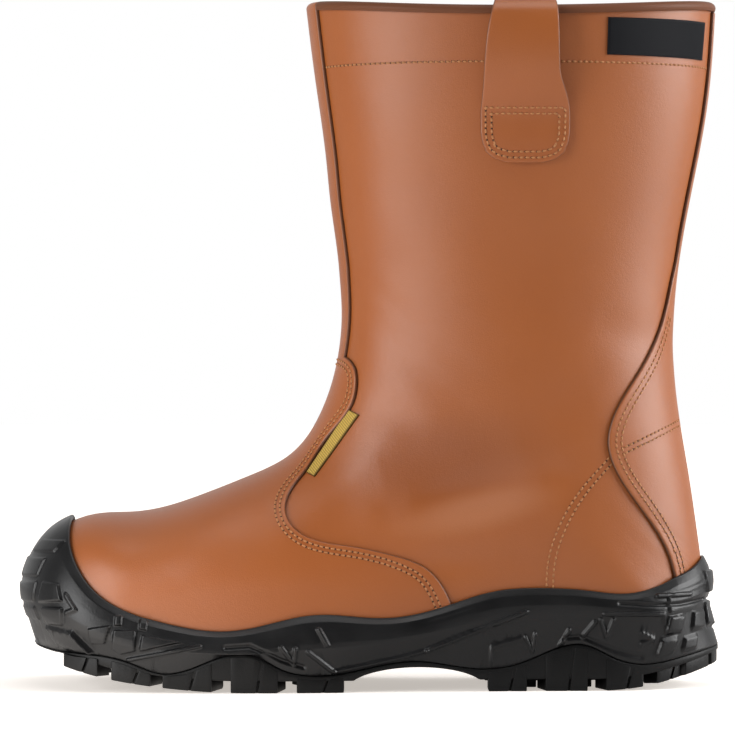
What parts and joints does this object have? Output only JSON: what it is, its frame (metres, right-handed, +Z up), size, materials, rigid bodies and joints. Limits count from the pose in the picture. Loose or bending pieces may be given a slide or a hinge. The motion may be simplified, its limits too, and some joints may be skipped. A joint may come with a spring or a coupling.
{
  "type": "pull-on safety boot",
  "caption": "Left pull-on safety boot: tan leather upper and shaft with pull loops, on a black moulded sole with a toe bumper, heel cup and lugged tread.",
  "frame": {"origin": "on the floor, under the middle of the boot's length and width", "axes": "-X towards the toe, -Y towards the outer side of the foot, +Z up"},
  "size_m": [0.308, 0.1314, 0.2969],
  "materials": {
    "leather": "tan, smooth, satin, fine grain",
    "binding_leather": "brown, rolled edge",
    "moulded_polyurethane": "black, satin, moulded",
    "tread_rubber": "black, matt",
    "footbed_felt": "dark grey felt",
    "black_satin": "black woven label, bare",
    "gold_weave": "gold woven tag, bare"
  },
  "bodies": {
    "root": {"upper": "leather", "vamp": "leather", "heel_counter": "leather", "front_strip": "leather", "pull_loop_outer": "leather", "pull_loop_inner": "leather", "collar_binding_outer": "binding_leather", "collar_binding_inner": "binding_leather", "midsole": "moulded_polyurethane", "outsole": "tread_rubber", "insole": "footbed_felt", "shaft_label": "black_satin", "vamp_tag": "gold_weave"}
  },
  "joints": []
}
